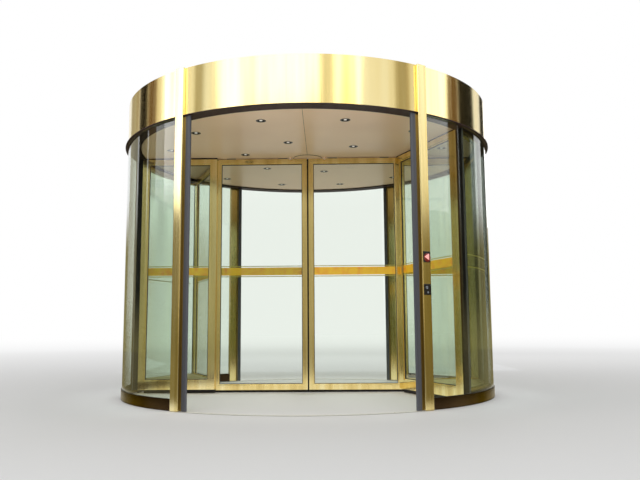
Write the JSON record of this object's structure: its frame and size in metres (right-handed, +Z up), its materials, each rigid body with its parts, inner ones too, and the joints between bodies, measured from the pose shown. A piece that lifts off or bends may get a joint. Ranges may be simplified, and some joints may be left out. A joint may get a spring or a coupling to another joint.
{
  "type": "two-wing revolving door",
  "caption": "Round revolving door with curved glass walls, a deep gold fascia ring, and a turning S-shaped rotor with sliding leaves and glazed display bays.",
  "frame": {"origin": "on the floor, at the drum's axis", "axes": "+Z up along the axis the rotor turns about; -Y faces out through the front entrance; +X to the right seen from the front"},
  "size_m": [3.6516, 3.652, 2.8002],
  "materials": {
    "gold": "mirror-polished titanium-gold stainless steel sheet",
    "bronze": "dark polished bronze-tone sheet",
    "rubber": "matte grey safety rubber and brush",
    "wall_glass": "clear curved safety glass",
    "pane_glass": "clear flat and curved safety glass",
    "sheet": "matte grey sheet",
    "steel": "primed structural steel",
    "stainless": "fine brushed stainless steel",
    "switch": "gloss black plastic",
    "ceiling": "semi-gloss pinkish beige panel"
  },
  "bodies": {
    "drum": {"front_left_post": "gold", "front_right_post": "gold", "back_left_post": "gold", "back_right_post": "gold", "safety_edges": "rubber", "left_mullion": "bronze", "right_mullion": "bronze", "skirts": "bronze", "left_wall_glass": "wall_glass", "right_wall_glass": "wall_glass", "front_fascia": "gold", "back_fascia": "gold", "left_fascia": "gold", "right_fascia": "gold", "soffit_ring": "bronze", "roof": "sheet", "canopy_beams": "steel", "bearing": "steel", "thresholds": "stainless", "switch_plates": "switch"},
    "rotor": {"ceiling": "ceiling", "hub_plate": "ceiling", "downlights": "bronze", "door_sensors": "ceiling", "spindle": "steel", "track_beam": "steel", "left_side_panel": "gold", "right_side_panel": "gold", "left_display_panel": "gold", "right_display_panel": "gold", "left_display_rails": "gold", "right_display_rails": "gold", "left_wing_glass": "pane_glass", "right_wing_glass": "pane_glass", "display_floors": "gold", "left_wing_seals": "rubber", "right_wing_seals": "rubber"},
    "left_door_leaf": {"left_leaf": "gold", "left_leaf_glass": "pane_glass", "left_leaf_hangers": "steel", "left_leaf_seals": "rubber"},
    "right_door_leaf": {"right_leaf": "gold", "right_leaf_glass": "pane_glass", "right_leaf_hangers": "steel", "right_leaf_seals": "rubber"}
  },
  "joints": [
    {"name": "rotor_turn", "type": "hinge", "parent": "drum", "child": "rotor", "pos_m": [0, 0, 0], "axis": [0, 0, 1], "continuous": true},
    {"name": "left_leaf_slide", "type": "slide", "parent": "rotor", "child": "left_door_leaf", "axis": [-1, 0, 0], "range_m": [0, 0.7]},
    {"name": "right_leaf_slide", "type": "slide", "parent": "rotor", "child": "right_door_leaf", "axis": [1, 0, 0], "range_m": [0, 0.7]}
  ],
  "couplings": [
    {"joint": "right_leaf_slide", "follows": "left_leaf_slide", "ratio": 1}
  ]
}
